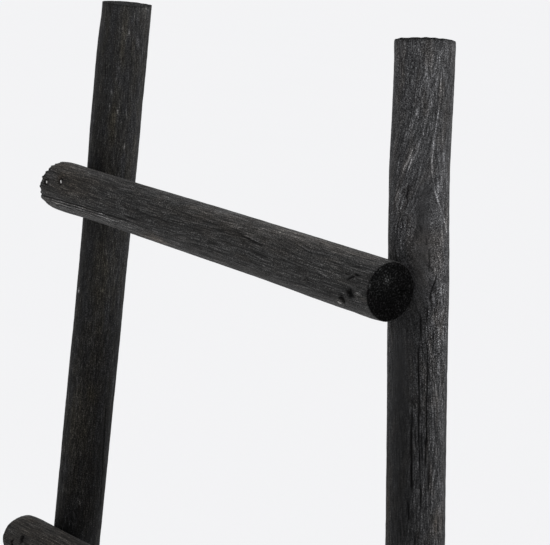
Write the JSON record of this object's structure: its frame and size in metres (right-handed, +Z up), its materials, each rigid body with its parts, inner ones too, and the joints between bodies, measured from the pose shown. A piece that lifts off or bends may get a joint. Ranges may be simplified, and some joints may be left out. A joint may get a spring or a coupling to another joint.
{
  "type": "decorative ladder",
  "caption": "Leaning blanket ladder of rough black-stained round poles: two stiles that draw in towards the top, with rungs nailed across their fronts.",
  "frame": {"origin": "on the floor, midway between the feet and midway through the ladder's depth", "axes": "+Z up the ladder as it stands upright, +X along the rungs to the right as seen from the front, -Y towards the front, where the rungs are"},
  "size_m": [0.7914, 0.083, 1.7519],
  "materials": {
    "stile_wood": "black-stained rough wood, dry and matt, with open grain and pale scuffs",
    "rung_wood": "black-stained rough wood, dry and matt, with brown fibres showing through",
    "nail_steel": "bare steel, dull, with worn bright heads"
  },
  "bodies": {
    "root": {"left_stile": "stile_wood", "right_stile": "stile_wood", "rung_1": "rung_wood", "rung_2": "rung_wood", "rung_3": "rung_wood", "rung_4": "rung_wood", "rung_5": "rung_wood", "rung_1_left_nails": "nail_steel", "rung_1_right_nails": "nail_steel", "rung_2_left_nails": "nail_steel", "rung_2_right_nails": "nail_steel", "rung_3_left_nails": "nail_steel", "rung_3_right_nails": "nail_steel", "rung_4_left_nails": "nail_steel", "rung_4_right_nails": "nail_steel", "rung_5_left_nails": "nail_steel", "rung_5_right_nails": "nail_steel"}
  },
  "joints": []
}
